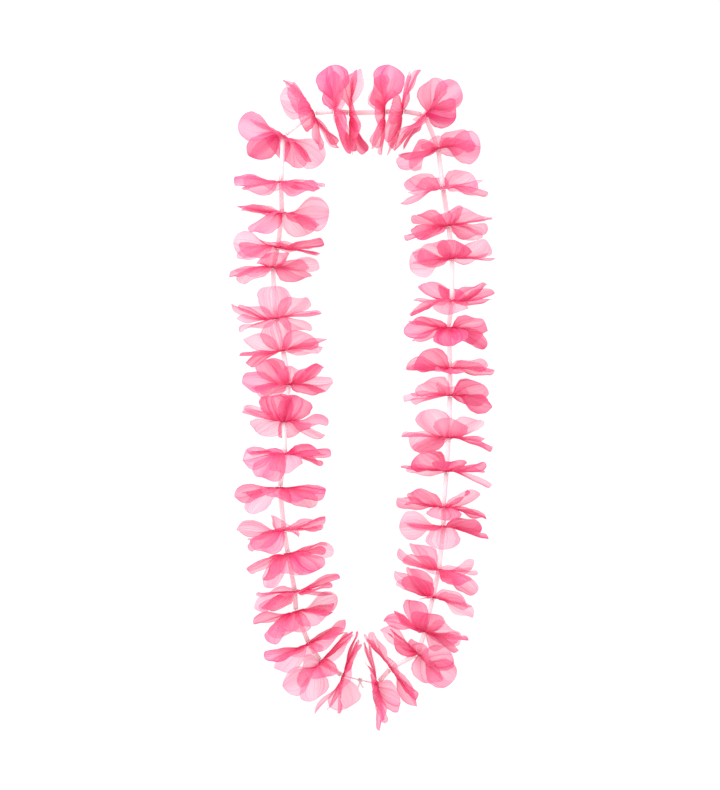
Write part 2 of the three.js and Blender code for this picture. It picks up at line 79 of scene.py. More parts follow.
# The flowers, as in the solids: x, y, turn, the bends of the eight petals, and the turns of their faces
FLOWERS = (
    (-61.5, 198.0, 5, (15, -50, -60, -30, 15, 60, 75, 60), (70, 0, 0, 0, 70, 20, 20, 0)),
    (-63.0, 163.5, -5, (0, 16, 25, 14, 0, 5, -5, -5), (25, 30, 0, 20, 0, 10, 0, 10)),
    (-62.3, 140.3, 8, (-4, 28, 5, 30, 2, 28, -8, -8), (10, 0, 0, 15, 70, 20, 0, 10)),
    (-65.3, 114.8, -8, (15, 25, 8, -18, -14, -8, 0, 10), (50, 0, 0, 10, 20, 10, 0, 10)),
    (-69.0, 99.8, 0, (22, 20, -25, -20, 0, 12, 15, 22), (0, 20, 10, 20, 30, 20, 0, 0)),
    (-67.5, 61.5, 5, (-24, -30, -60, -38, 5, 15, 15, -12), (0, 0, 20, 20, 0, 0, 0, 0)),
    (-61.5, 37.5, -3, (-5, -42, -50, -22, 0, 6, 5, 8), (0, 0, 20, 30, 20, 10, 0, 10)),
    (-57.0, 12.0, 3, (20, -48, -20, -40, 2, 8, 30, 12), (40, 30, 0, 0, 15, 0, 0, 30)),
    (-60.8, -15.8, -20, (-12, -32, -45, -50, 3, 35, 48, 35), (0, 20, 20, 20, 10, 0, 20, 20)),
    (-60.0, -40.5, 5, (22, 42, 52, -8, -6, -5, 5, -28), (30, 20, 20, 10, 20, 10, 0, 0)),
    (-63.8, -66.0, -5, (22, 35, 48, 42, 30, 28, 15, 8), (20, 0, 20, 10, 25, 20, 0, 0)),
    (-60.8, -97.5, 5, (-2, 25, -35, -30, -12, 10, 20, 25), (30, 20, 30, 10, 20, 0, 0, 10)),
    (-57.8, -115.5, -3, (20, 60, 42, 42, 12, -28, 15, 42), (15, 10, 20, 20, 25, 0, 0, 0)),
    (-52.5, -144.0, 0, (20, 18, 0, -12, -11, 5, 0, 20), (20, 15, 0, 0, 0, 0, 0, 10)),
    (-51.8, -159.0, -10, (8, 50, 42, 35, 20, 10, 25, 45), (20, 10, 20, 20, 40, 20, 0, 0)),
    (-42.0, -183.0, -8, (-14, 0, 20, 28, 10, 8, 10, 5), (20, 30, 10, 20, 30, 0, 0, 0)),
    (-33.0, -196.5, -10, (-12, 30, 60, 40, 26, 12, 0, -36), (40, 30, 30, 10, 10, 0, 0, 20)),
    (-16.5, -207.0, 3, (-18, -12, 5, 32, 28, 25, 10, 20), (15, 30, 0, 0, 10, 0, 0, 50)),
    (9.0, -213.0, 18, (0, 40, -8, -14, 22, -20, 5, -12), (15, 0, 0, 0, 10, 0, 0, 15)),
    (19.5, -201.0, -8, (-4, 5, 18, 20, 20, 20, 5, 5), (15, 0, 0, 0, 20, 0, 0, 0)),
    (39.8, -190.5, 0, (16, 40, 22, -20, -38, -25, 10, -40), (60, 30, 10, 0, 40, 20, 0, 30)),
    (45.0, -173.3, 2, (8, 38, 68, 50, 5, -25, -20, -25), (0, 20, 0, 15, 20, 20, 0, 30)),
    (51.0, -147.8, -4, (-34, 10, -8, 35, 30, 38, 20, 5), (25, 30, 0, 20, 30, 0, 0, 20)),
    (55.5, -127.5, 3, (-22, -30, 0, 40, 22, 30, 8, -12), (35, 20, 0, 20, 20, 0, 0, 30)),
    (58.9, -94.9, 0, (-12, 4, -42, -10, 2, -10, -5, 12), (20, 20, 0, 10, 45, 10, 0, 20)),
    (58.9, -80.3, 0, (-6, 30, -10, 22, 9, -4, 42, -12), (10, 10, 0, 10, 15, 0, 30, 0)),
    (61.2, -53.0, -4, (-11, 10, 20, 14, 4, -4, -8, -8), (10, 0, 0, 30, 10, 0, 0, 0)),
    (62.6, -27.8, -3, (-10, 52, 40, 52, 6, -25, -28, -10), (10, 20, 0, 20, 0, 30, 0, 10)),
    (63.8, 3.8, -3, (-18, 34, 35, 28, 0, -4, -8, -20), (30, 30, 20, 30, 20, 0, 0, 20)),
    (63.8, 24.0, -2, (-4, 4, -10, 14, 8, -6, 5, 30), (0, 10, 0, 30, 30, 0, 0, 30)),
    (62.7, 54.2, -4, (-28, 5, -28, 12, -8, 0, -12, -42), (15, 35, 0, 0, 40, 0, 0, 10)),
    (65.3, 74.3, 3, (20, 26, -16, -14, -22, 50, 60, -3), (0, 0, 0, 0, 0, 20, 20, 20)),
    (65.3, 106.5, -4, (-4, 18, 28, 14, 4, -16, -12, -4), (0, 20, 20, 20, 50, 30, 0, 20)),
    (62.7, 131.3, 2, (10, 18, 55, 48, -16, -32, -30, -24), (0, 20, 20, 20, 0, 20, 0, 20)),
    (58.5, 159.0, -2, (-12, -26, -3, -12, -17, 48, 45, 42), (0, 20, 0, 0, 0, 30, 0, 40)),
    (54.8, 189.0, 0, (-15, 10, 65, 15, 0, -10, -20, 8), (70, 40, 0, 60, 40, 0, 0, 30)),
    (45.0, 213.8, -6, (0, 42, 10, 0, -8, -8, -8, -45), (60, 30, 0, 60, 0, 0, 0, 40)),
    (27.8, 216.8, -2, (-18, -10, 25, 10, 32, 15, 0, -15), (0, 0, 0, 0, 0, 0, 0, 10)),
    (14.3, 216.0, 8, (-6, 38, 80, 45, 48, 30, 0, 30), (65, 20, 0, 0, 0, 0, 0, 30)),
    (-11.0, 215.3, 20, (-5, -12, 20, -32, -36, -20, 0, 10), (20, 20, 0, 15, 20, 0, 0, 40)),
    (-22.5, 216.8, -6, (8, -28, -8, -30, -22, -15, 5, 12), (65, 40, 0, 20, 40, 10, 0, 30)),
    (-39.0, 215.3, 0, (20, 55, 80, 65, -35, -20, 20, 25), (5, 40, 20, 0, 10, 0, 0, 30)),
)

# The fine petal is a single sheet: the thickness with which it rests, its round tip, where its root starts
# inside the collar, how the rows of its mesh crowd towards the ends, and its mesh steps
FABRIC_THICKNESS = 0.2
FINE_TIP_SHARE = 0.1
ROOT_START = -0.05
ROW_CROWDING = 1.15
STEPS_ALONG = 28
STEPS_ACROSS = 26
# The ruffles' depths in millimetres: the gathers at the root, broad folds, sharp creases that run from the root
# to the edge, waves along the petal, and the curl of the cut edges
GATHER_DEPTH = 0.9
FOLD_DEPTH = 1.5
CREASE_DEPTH = 1.0
WAVE_DEPTH = 0.9
EDGE_CURL = 1.6
# Their counts and widths, each between two limits, and the shares of the petal's length where they set in
GATHER_WAVES = (2.4, 3.8)
FOLD_WAVES = (0.8, 1.6)
LENGTH_WAVES = (0.7, 1.4)
CREASES = 3
CREASE_PLACES = (-0.8, 0.8)
CREASE_WIDTHS = (0.14, 0.3)
DEPTH_SHARES = (0.5, 1.0)
CURL_WAVES = 1.5
GATHER_START = 0.1
GATHER_FADE = 0.28
RUFFLE_START = 0.05
RUFFLE_SHARE = 0.5
EDGE_SHARE = 0.3
RUFFLE_SEED = 20
# How far a petal's pattern slants, between two limits, and how much of that its folds, creases and waves take
SLANTS = (-0.5, 0.5)
FOLD_SLANT = 3
CREASE_SLANT = 0.2
WAVE_SLANT = 1.2
# The share of its depth that a crease loses towards the tip, and where that sets in
CREASE_LOSS = 0.5
LOSS_START = 0.6
# How deep in a fold the fabric is, as painted shade that darkens the pink in a hollow: a start, and what a
# fold, a gather and a crease add
FOLD_SHADE_START = 0.5
FOLD_SHADE = 0.2
GATHER_SHADE = 0.3
CREASE_SHADE = 0.3
# How far the cut edge strays in and out, as a share of the petal's half width, and its waves along the petal
EDGE_STRAY = 0.05
STRAY_WAVES = (2.3, 5.1, 9.7)
# How sharply the rim sets off, and the share of the petal's length that the darker root takes
RIM_POWER = 14
ROOT_TINT_SHARE = 0.55
# Petals that lie close to a neighbouring flower's, by flower and petal: the share of the width that each keeps.
# They also keep only a share of their ruffles, and so stay clear
CLOSE_PETALS = {(14, 6): 0.86, (15, 5): 0.86, (16, 6): 0.8, (17, 7): 0.84, (19, 4): 0.88, (19, 6): 0.9,
                (20, 5): 0.88, (37, 4): 0.9, (38, 4): 0.88, (38, 5): 0.9, (39, 3): 0.88, (40, 4): 0.9,
                (41, 5): 0.84}
CLOSE_RUFFLE = 0.4

# The collar: its mesh steps, its clearance from the thread, its pleats, their depth, and the sway of its height
COLLAR_STEPS = (48, 10)
COLLAR_CLEARANCE = 0.32
COLLAR_PLEATS = 12
PLEAT_DEPTH = 0.09
COLLAR_SWAYS = 5
SWAY_DEPTH = 0.2
# What its fabric's patterns are. Its fold value, below the middle, paints shade on it as in a fold's hollow
COLLAR_PATTERNS = {"tone": 0.2, "rim": 0.0, "root": 1.0, "fold": 0.3}

# The thread's two plies: how far each stands off the middle, its radius and sides, and the twist's length
PLY_OFFSET = 0.24
PLY_RADIUS = 0.27
PLY_SIDES = 6
TWIST_LENGTH = 3.2
THREAD_STEP = 0.55
LEAST_STEPS = 4
SMOOTHINGS = 2
# The knot's turns, its length, the steps of its path and of a tail, and how far the knot stands off the thread
KNOT_TURNS = 3
KNOT_LENGTH = 2.6
KNOT_STEPS = 90
TAIL_STEPS = 24
KNOT_CLEARANCE = 0.1

# The straws: wall, mesh steps, how far they hang below the thread as a share of the room inside, and how uneven
# their section, their cut ends and their outside are
STRAW_WALL = 0.16
STRAW_SIDES = 28
STRAW_RINGS = 7
HANG_SHARE = 0.55
STRAW_OVAL = 0.05
STRAW_SLANT = 0.12
STRAW_PINCH = 0.015
PINCH_WAVES = 9
STRAW_SEED = 200

# A texture unit is 10 mm of fabric or straw. A petal's texture starts up to TEXTURE_SHIFT units off, and a
# collar's pleats and a straw's oval start up to PHASES radians round
TEXTURE_UNIT = 10
TEXTURE_SHIFT = 10
PHASES = 6

# The fabric's colours, and the tint of what shows through one sheet
DEEP_PINK = (0.84, 0.055, 0.22, 1)
ROSE_PINK = (0.90, 0.17, 0.35, 1)
PALE_PINK = (0.94, 0.34, 0.50, 1)
SHEER_TINT = (1.0, 0.78, 0.86, 1)
SHEEN_TINT = (1.0, 0.75, 0.85, 1)
# The straws' and the thread's lighter and darker colours, the tint of a straw's inner wall, and the floor's
WHITE = (1.0, 1.0, 1.0, 1)
STRAW_SHADE = (0.97, 0.96, 0.96, 1)
THREAD_SHADE = (0.93, 0.92, 0.92, 1)
INNER_TINT = (1.0, 0.99, 0.99, 1)
FLOOR_GREY = (0.12, 0.12, 0.12, 1)
# Where the middle pink stands between the deep one and the pale one
ROSE_PLACE = 0.45
# What makes a petal's pink lighter and a sheet hide more: a start, and how much of each pattern is added
LIGHTNESS_START = -0.6
# Its fold share is painted shade: lighter pink on a fold's ridge, darker in its hollow
LIGHTNESS_SHARES = {"streak": 0.9, "tone": 0.35, "fold": 0.8, "pleat": -0.22, "cloud": 0.4, "root": -0.42}
OPACITY_START = 0.77
# The fold share here paints shade too: a sheet hides more in a fold's hollow
OPACITY_SHARES = {"root": 0.34, "rim": 0.12, "fold": -0.4, "pleat": 0.2, "streak": 0.5, "tone": -0.52}
# What the bump is made of
BUMP_SHARES = {"streak": 0.6, "weave": 0.2, "rib": 0.8}
# Where the ribs turn into pleats, and how sharply
PLEAT_FROM = 0.52
PLEAT_SHARPNESS = 7.0
RIM_TINT = 0.2
WEAVE_TINT = 0.12
# How much of the light that the fabric, the straws and the thread send out has come through them, and how
# much a straw's outside hides
FABRIC_THROUGH = 0.45
STRAW_THROUGH = 0.5
THREAD_THROUGH = 0.5
STRAW_MILK = 0.8

# The most sheets that light passes, the floor's own glow and half its side, the light from all round, and the
# lamps: name, place, size and power
SHEER_LAYERS = 32
FLOOR_GLOW = 0.96
FLOOR_HALF = 4.0
SKY_STRENGTH = 1.0
LAMPS = (("key", (-0.9, 0.9, 1.3), 0.7, 34), ("fill", (1.2, -0.6, 1.4), 1.6, 7))

# The photo's frame in pixels, the pixel where x and y are 0, a pixel's size in millimetres, and the camera: its
# height above the thread in metres, its sensor and how far it sees
FRAME_WIDE, FRAME_HIGH = 720, 790
PIXEL_MIDDLE = (365, 400)
PIXEL = 0.75
CAMERA_DISTANCE = 3.0
SENSOR_WIDTH = 36
CLIP_END = 20

UP = np.array([0.0, 0.0, 1.0])


def seeded_spread(seed):
    """The solids' seeded random number from -1 to 1."""
    mask = 0xFFFFFFFF
    state = seed

    def draw():
        nonlocal state
        state = (state + 0x6D2B79F5) & mask
        mixed = ((state ^ (state >> 15)) * (1 | state)) & mask
        mixed = ((mixed + (((mixed ^ (mixed >> 7)) * (61 | mixed)) & mask)) & mask) ^ mixed
        return (mixed ^ (mixed >> 14)) / 2147483648 - 1

    return draw


def place_flowers():
    """Each flower's centre, the thread's direction there, the outward direction and the way to the next."""
    centres = [np.array([x, y, THREAD_HEIGHT]) for x, y, *_ in FLOWERS]
    places = []
    for index, centre in enumerate(centres):
        before = centres[index - 1]
        after = centres[(index + 1) % len(centres)]
        along = (after - before) / np.linalg.norm(after - before)
        outward = np.array([along[1], -along[0], 0.0])
        pitch = float(np.linalg.norm(after - centre))
        places.append({"centre": centre, "along": along, "outward": outward, "pitch": pitch})
    return places


def lay_petals(index, draw):
    """A flower's petals before they settle. One that would reach below the surface swings to the side."""
    _, _, turn, bends, faces = FLOWERS[index]
    drop = THREAD_HEIGHT - TIP_CLEARANCE
    petals = []
    for number, bend in enumerate(bends):
        root = turn + 360 / PETALS * number
        azimuth = root
        reach = PETAL_LENGTH * math.cos(math.radians(bend))
        if -reach * math.sin(math.radians(azimuth)) > drop:
            lowest = math.degrees(math.asin(drop / reach))
            azimuth = 180 + lowest if azimuth < 270 else 360 - lowest
        side = -1 if bend * math.sin(math.radians(2 * root)) < 0 else 1
        petals.append({
            "root": root,
            "azimuth": azimuth,
            "bend": bend,
            "layer": number % 2,
            "face": side * faces[number] + draw() * FACE_SPREAD,
            "curl": draw() * CURL_SPREAD,
            "cup": draw() * CUP_SPREAD,
            "length": PETAL_LENGTH * (1 + draw() * LENGTH_SPREAD),
        })
    return petals


def edge_lean(petal):
    """How far a petal's edge stands from its middle line along the thread, in degrees."""
    return FACE_REACH * abs(math.sin(math.radians(petal["face"])))


def bend_at(petals, azimuth, edge):
    """The bend of a flower's petals at any azimuth, read between the two nearest: of their edges towards the
    next flower if edge is 1, and towards the last one if it is -1."""
    low = high = None
    for petal in petals:
        ahead = (petal["azimuth"] - azimuth % 360) % 360
        behind = (360 - ahead) % 360
        bend = petal["bend"] + edge * edge_lean(petal)
        if high is None or ahead < high[0]:
            high = (ahead, bend)
        if low is None or behind < low[0]:
            low = (behind, bend)
    span = low[0] + high[0]
    if span == 0:
        return low[1]
    return (low[1] * high[0] + high[1] * low[0]) / span


def lean_limit(place, following, azimuth):
    """How far two neighbouring flowers' petals may bend towards each other at an azimuth, in degrees."""
    opened = math.degrees(2 * math.asin(min(1, place["pitch"] / (2 * PETAL_LENGTH))))
    a, b = place["along"], following["along"]
    turned = math.degrees(math.asin(a[0] * b[1] - a[1] * b[0]))
    return LEAN_SHARE * opened + turned * math.cos(math.radians(azimuth))


def settle_petals(places, flowers):
    """Bends petals back from the neighbouring flowers' until each has its room, as in the solids."""
    count = len(flowers)
    for _ in range(SETTLE_ROUNDS):
        for index in range(count):
            following = (index + 1) % count
            last = index - 1
            for petal in flowers[index]:
                ahead = 0
                behind = 0
                for side in (-PETAL_REACH, 0, PETAL_REACH):
                    azimuth = petal["azimuth"] + side
                    room_ahead = lean_limit(places[index], places[following], azimuth)
                    room_behind = lean_limit(places[last], places[index], azimuth)
                    front = petal["bend"] + edge_lean(petal) - bend_at(flowers[following], azimuth, -1)
                    back = bend_at(flowers[last], azimuth, 1) - petal["bend"] + edge_lean(petal)
                    ahead = max(ahead, front - room_ahead)
                    behind = max(behind, back - room_behind)
                petal["bend"] += (behind - ahead) / 2
                if ahead > 0 and behind > 0:
                    petal["face"] *= FACE_KEPT


def smooth_step(value):
    part = np.clip(value, 0, 1)
    return part * part * (3 - 2 * part)


def half_width(part):
    """The solids' outline of a petal, with a rounder tip."""
    rise = np.sin(np.clip(part, 0, WIDEST_AT) / WIDEST_AT * math.pi / 2)
    past = np.clip((part - WIDEST_AT) / (1 - WIDEST_AT), 0, 1)
    tip = np.sqrt(1 - (1 - FINE_TIP_SHARE ** 2) * past ** 2)
    return PETAL_HALF_WIDTH * np.where(part < WIDEST_AT, ROOT_SHARE + (1 - ROOT_SHARE) * rise, tip)


def rest_on_surface(height, thickness):
    """Heights eased so that no fabric sinks below the surface that the garland lies on."""
    over = height - thickness / 2
    eased = np.where(over <= -FLOOR_EASE, 0, (over + FLOOR_EASE) ** 2 / (4 * FLOOR_EASE))
    return np.where(over >= FLOOR_EASE, height, thickness / 2 + eased)


def around_thread(place, azimuth):
    """The direction square to the thread at an azimuth, which runs from outward towards up."""
    angle = np.radians(azimuth)[..., None]
    return np.cos(angle) * place["outward"] + np.sin(angle) * UP


def petal_surface(place, petal, part, side, ruffle):
    """The middle surface of a petal: part runs 0 to 1 along it, side -1 to 1 across it."""
    bend = math.radians(petal["bend"] + LAYER_FAN * (2 * petal["layer"] - 1))
    curl = math.radians(petal["curl"])
    middles = (np.arange(SPINE_STEPS) + 0.5) / SPINE_STEPS
    leans = bend * smooth_step(middles / CREASE_SHARE) + curl * middles ** 2
    stride = petal["length"] / SPINE_STEPS
    knots = np.arange(SPINE_STEPS + 1) / SPINE_STEPS
    spine_out = COLLAR_RADIUS + stride * np.concatenate([[0], np.cumsum(np.cos(leans))])
    spine_forward = stride * np.concatenate([[0], np.cumsum(np.sin(leans))])
    out = np.interp(part, knots, spine_out) + np.minimum(part, 0) * petal["length"]
    forward = np.interp(part, knots, spine_forward)
    swing = smooth_step(part / SWEEP_SHARE)
    azimuth = petal["root"] + (petal["azimuth"] - petal["root"]) * swing
    radial = around_thread(place, azimuth)
    sideways = around_thread(place, azimuth + 90)
    whole = np.clip(part, 0, 1)
    angle = (bend * smooth_step(whole / CREASE_SHARE) + curl * whole ** 2)[..., None]
    normal = np.cos(angle) * place["along"] - np.sin(angle) * radial
    turn = np.radians(petal["face"] * smooth_step(whole / FACE_SHARE))[..., None]
    across = np.cos(turn) * sideways + np.sin(turn) * normal
    proud = np.cos(turn) * normal - np.sin(turn) * sideways
    width = half_width(whole)
    lift = petal["cup"] * width * side ** 2 + ruffle
    point = place["centre"] + radial * out[..., None] + place["along"] * forward[..., None]
    point = point + across * (side * width)[..., None] + proud * lift[..., None]
    point[..., 2] = rest_on_surface(point[..., 2], FABRIC_THICKNESS)
    return point


def petal_ruffle(part, side, across, rng):
    """How far the fabric stands off the petal's middle surface, and how deep in a fold it is, as painted shade
    that darkens the pink in a hollow. Side runs -1 to 1 between the petal's edges, and across is the true
    distance as a share of the widest half."""
    spread = smooth_step((part - RUFFLE_START) / RUFFLE_SHARE)
    phase = rng.uniform(0, 2 * math.pi, 4)
    slant = rng.uniform(*SLANTS)
    gather = np.sin(math.pi * rng.uniform(*GATHER_WAVES) * side + phase[0])
    gather = gather * np.exp(-np.maximum(part, 0) / GATHER_FADE) * smooth_step(part / GATHER_START)
    fold = np.sin(math.pi * rng.uniform(*FOLD_WAVES) * across + phase[1] + slant * part * FOLD_SLANT)
    wave = np.sin(2 * math.pi * rng.uniform(*LENGTH_WAVES) * part + phase[2] + across * WAVE_SLANT)
    kept = 1 - CREASE_LOSS * smooth_step((part - LOSS_START) / (1 - LOSS_START))
    crease = 0
    for place in rng.uniform(*CREASE_PLACES, CREASES):
        width = rng.uniform(*CREASE_WIDTHS)
        ridge = np.clip(1 - np.abs(side - place - slant * CREASE_SLANT * part) / width, 0, 1)
        crease = crease + rng.uniform(-1, 1) * ridge * kept
    left, right = rng.uniform(-1, 1, 2)
    edge = np.where(across < 0, left, right) * np.abs(across) ** 3
    edge = edge * np.sin(math.pi * CURL_WAVES * part + phase[3])
    depth = FOLD_DEPTH * rng.uniform(*DEPTH_SHARES) * fold * spread
    depth = depth + WAVE_DEPTH * rng.uniform(*DEPTH_SHARES) * wave * np.abs(part) * spread
    depth = depth + EDGE_CURL * edge * spread
    depth = depth + CREASE_DEPTH * crease * smooth_step(part / EDGE_SHARE)
    depth = depth + GATHER_DEPTH * gather
    # Painted shade: the pink is darker where the fabric lies in a fold's hollow and lighter on a ridge
    fold_shade = FOLD_SHADE_START + FOLD_SHADE * fold + GATHER_SHADE * gather + CREASE_SHADE * crease
    return depth, np.clip(fold_shade, 0, 1)


def grid_faces(rows, columns, shift):
    """The quads of a grid of points whose first index is shift."""
    index = np.arange(rows * columns).reshape(rows, columns) + shift
    corners = (index[:-1, :-1], index[1:, :-1], index[1:, 1:], index[:-1, 1:])
    return np.stack([corner.ravel() for corner in corners], axis=1)


def make_mesh(name, verts, faces, material, layers=(), uv_maps=()):
    mesh = bpy.data.meshes.new(name)
    metres = (np.asarray(verts) - CENTRING) * MM
    metres[:, 2] = np.maximum(metres[:, 2], 0)
    mesh.from_pydata(metres.tolist(), [], [list(face) for face in faces])
    for layer, values in layers:
        attribute = mesh.attributes.new(layer, "FLOAT", "POINT")
        attribute.data.foreach_set("value", np.asarray(values, dtype=np.float32))
    corners = np.empty(len(mesh.loops), dtype=np.int32)
    mesh.loops.foreach_get("vertex_index", corners)
    for layer, values in uv_maps:
        mesh.uv_layers.new(name=layer).data.foreach_set("uv", np.asarray(values)[corners].ravel())
    mesh.polygons.foreach_set("use_smooth", [True] * len(mesh.polygons))
    mesh.materials.append(material)
    mesh.validate()
    piece = bpy.data.objects.new(name, mesh)
    bpy.context.scene.collection.objects.link(piece)
    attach(piece, "root")
    return piece


def collar_ring(place, root, rng, shift):
    """The gathered middle of the two layers: a small pleated ring round the thread."""
    rounds, sections = COLLAR_STEPS
    turn = np.arange(rounds) * 2 * math.pi / rounds
    section = np.arange(sections) * 2 * math.pi / sections
    t, s = np.meshgrid(turn, section, indexing="ij")
    pleat = 1 + PLEAT_DEPTH * np.sin(COLLAR_PLEATS * t + rng.uniform(0, PHASES)) * (0.5 + 0.5 * np.cos(s))
    inner, outer = THREAD_RADIUS + COLLAR_CLEARANCE, COLLAR_RADIUS
    radius = ((inner + outer) / 2 + (outer - inner) / 2 * np.cos(s)) * pleat
    sway = 1 + SWAY_DEPTH * np.sin(COLLAR_SWAYS * t + rng.uniform(0, PHASES))
    height = COLLAR_HEIGHT / 2 * np.sin(s) * sway
    radial = around_thread(place, np.degrees(t) + root)
    verts = place["centre"] + radial * radius[..., None] + place["along"] * height[..., None]
    index = np.arange(rounds * sections).reshape(rounds, sections)
    a, b = index, np.roll(index, -1, axis=0)
    c, d = np.roll(b, -1, axis=1), np.roll(index, -1, axis=1)
    faces = np.stack([a.ravel(), b.ravel(), c.ravel(), d.ravel()], axis=1) + shift
    return verts.reshape(-1, 3), faces


def build_flower(index, place, petals, material):
    """A flower's eight petals and its collar, as one piece of fabric in the place of the solid."""
    rng = np.random.default_rng(RUFFLE_SEED + index)
    rows = np.sin(np.linspace(0, math.pi / 2, STEPS_ALONG + 1)) ** ROW_CROWDING
    along = ROOT_START + (1 - ROOT_START) * rows
    sides = np.linspace(-1, 1, STEPS_ACROSS + 1)
    part, side = np.meshgrid(along, sides, indexing="ij")
    width = half_width(np.clip(part, 0, 1))
    verts, faces, cloth, fan = [], [], [], []
    layers = {"tone": [], "rim": [], "root": [], "fold": []}
    shift = 0

    def add(points, quads, cloth_uv, fan_uv, **values):
        nonlocal shift
        verts.append(points)
        faces.append(quads)
        cloth.append(cloth_uv)
        fan.append(fan_uv)
        for key, value in values.items():
            layers[key].append(np.broadcast_to(value, len(points)))
        shift += len(points)

    for number, petal in enumerate(petals, 1):
        stray = np.zeros_like(part)
        for waves in STRAY_WAVES:
            phases = rng.uniform(0, 2 * math.pi, 2)
            stray = stray + np.sin(waves * math.pi * part + np.where(side < 0, *phases)) / len(STRAY_WAVES)
        strayed = side * (1 + EDGE_STRAY * stray * smooth_step(part / EDGE_SHARE))
        # fold is the painted shade of the folds, which darkens the pink in their hollows
        ruffle, fold = petal_ruffle(part, side, side * width / PETAL_HALF_WIDTH, rng)
        if (index + 1, number) in CLOSE_PETALS:
            strayed = strayed * CLOSE_PETALS[index + 1, number]
            ruffle = ruffle * CLOSE_RUFFLE
        points = petal_surface(place, petal, part, strayed, ruffle).reshape(-1, 3)
        offset = rng.uniform(0, TEXTURE_SHIFT, 4)
        run = part * PETAL_LENGTH / TEXTURE_UNIT
        cloth_uv = np.stack([side * width / TEXTURE_UNIT + offset[0], run + offset[1]], axis=-1)
        fan_uv = np.stack([side + offset[2], part + offset[3]], axis=-1)
        add(points, grid_faces(*part.shape, shift), cloth_uv.reshape(-1, 2), fan_uv.reshape(-1, 2),
            tone=rng.uniform(0, 1), rim=(np.maximum(np.abs(side), part) ** RIM_POWER).ravel(),
            root=(1 - smooth_step(part / ROOT_TINT_SHARE)).ravel(), fold=fold.ravel())
    points, quads = collar_ring(place, petals[0]["root"], rng, shift)
    add(points, quads, points[:, :2] / TEXTURE_UNIT, points[:, 1:] / TEXTURE_UNIT,
        **COLLAR_PATTERNS)
    name = f"flower_{index + 1:02d}"
    piece = make_mesh(name + "_cloth", np.concatenate(verts), np.concatenate(faces), material,
                      [(key, np.concatenate(values)) for key, values in layers.items()],
                      [("cloth", np.concatenate(cloth)), ("fan", np.concatenate(fan))])
    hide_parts(name)


def frames_along(points):
    """A side direction and a second one at each point of a path, square to it."""
    tangent = np.gradient(points, axis=0)
    tangent /= np.linalg.norm(tangent, axis=1, keepdims=True)
    first = np.cross(tangent, UP)
    first /= np.maximum(np.linalg.norm(first, axis=1, keepdims=True), 1e-9)
    return first, np.cross(first, tangent)


def tube(points, radius, sides, shift, closed):
    """A round tube along a path. An open one has closed ends."""
    first, second = frames_along(points)
    angle = np.arange(sides) * 2 * math.pi / sides
    ring = np.cos(angle)[None, :, None] * first[:, None, :] + np.sin(angle)[None, :, None] * second[:, None, :]
    verts = (points[:, None, :] + radius * ring).reshape(-1, 3)
    index = np.arange(len(points) * sides).reshape(-1, sides)
    following = np.roll(index, -1, axis=0)
    if not closed:
        index, following = index[:-1], following[:-1]
    a, b = index.ravel(), following.ravel()
    d, c = np.roll(index, -1, axis=1).ravel(), np.roll(following, -1, axis=1).ravel()
    faces = (np.stack([a, b, c, d], axis=1) + shift).tolist()
    if not closed:
        last = (len(points) - 1) * sides
        faces.append([shift + side for side in range(sides)])
        faces.append([shift + last + side for side in reversed(range(sides))])
    return verts, faces


def twisted(points, closed):
    """The paths of the two plies of a twisted thread along a path."""
    first, second = frames_along(points)
    steps = np.linalg.norm(np.diff(points, axis=0), axis=1)
    run = np.concatenate([[0], np.cumsum(steps)])
    turns = run * (1 / TWIST_LENGTH)
    if closed:
        turns *= round(turns[-1]) / turns[-1] * (len(points) - 1) / len(points)
    for ply in (0, 0.5):
        angle = (2 * math.pi * (turns + ply))[:, None]
        yield points + PLY_OFFSET * (np.cos(angle) * first + np.sin(angle) * second)


def build_thread(places, material):
    """The closed thread through the flowers, with its knot and the knot's two tails."""
    verts, faces, shift = [], [], 0

    def add(path, closed):
        nonlocal shift
        for ply in twisted(path, closed):
            points, quads = tube(ply, PLY_RADIUS, PLY_SIDES, shift, closed)
            verts.append(points)
            faces.extend(quads)
            shift += len(points)

    loop = []
    for index, place in enumerate(places):
        following = places[(index + 1) % len(places)]
        steps = max(LEAST_STEPS, round(place["pitch"] / THREAD_STEP))
        share = np.arange(steps)[:, None] / steps
        loop.append(place["centre"] * (1 - share) + following["centre"] * share)
    loop = np.concatenate(loop)
    for _ in range(SMOOTHINGS):
        loop = (np.roll(loop, 1, axis=0) + 2 * loop + np.roll(loop, -1, axis=0)) / 4
    add(loop, True)

    place, following = places[KNOT_AFTER], places[KNOT_AFTER + 1]
    middle = (place["centre"] + following["centre"]) / 2
    way = (following["centre"] - place["centre"]) / place["pitch"]
    side = np.cross(way, UP)
    turn = np.linspace(0, 1, KNOT_STEPS)[:, None]
    angle = 2 * math.pi * KNOT_TURNS * turn
    ring = (KNOT_RADIUS + KNOT_CLEARANCE) * (np.cos(angle) * side + np.sin(angle) * UP)
    add(middle + way * (turn - 0.5) * KNOT_LENGTH + ring, False)
    for number, (lean, dip) in enumerate(KNOT_TAILS):
        direction = np.array([lean, -1, dip])
        direction /= np.linalg.norm(direction)
        share = np.linspace(0, 1, TAIL_STEPS)[:, None]
        bow = np.cross(direction, UP) * np.sin(share * math.pi) * (0.5 - number)
        add(middle + direction * share * KNOT_TAIL + bow, False)
    thread = make_mesh("thread", np.concatenate(verts), faces, material)
    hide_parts("strand")


def straw_end(place, way):
    """How far from a flower's centre the straw on that side ends."""
    square = min(1.0, float(place["along"] @ way))
    return COLLAR_HEIGHT / 2 * square + COLLAR_RADIUS * math.sqrt(1 - square * square) + STRAW_END_GAP


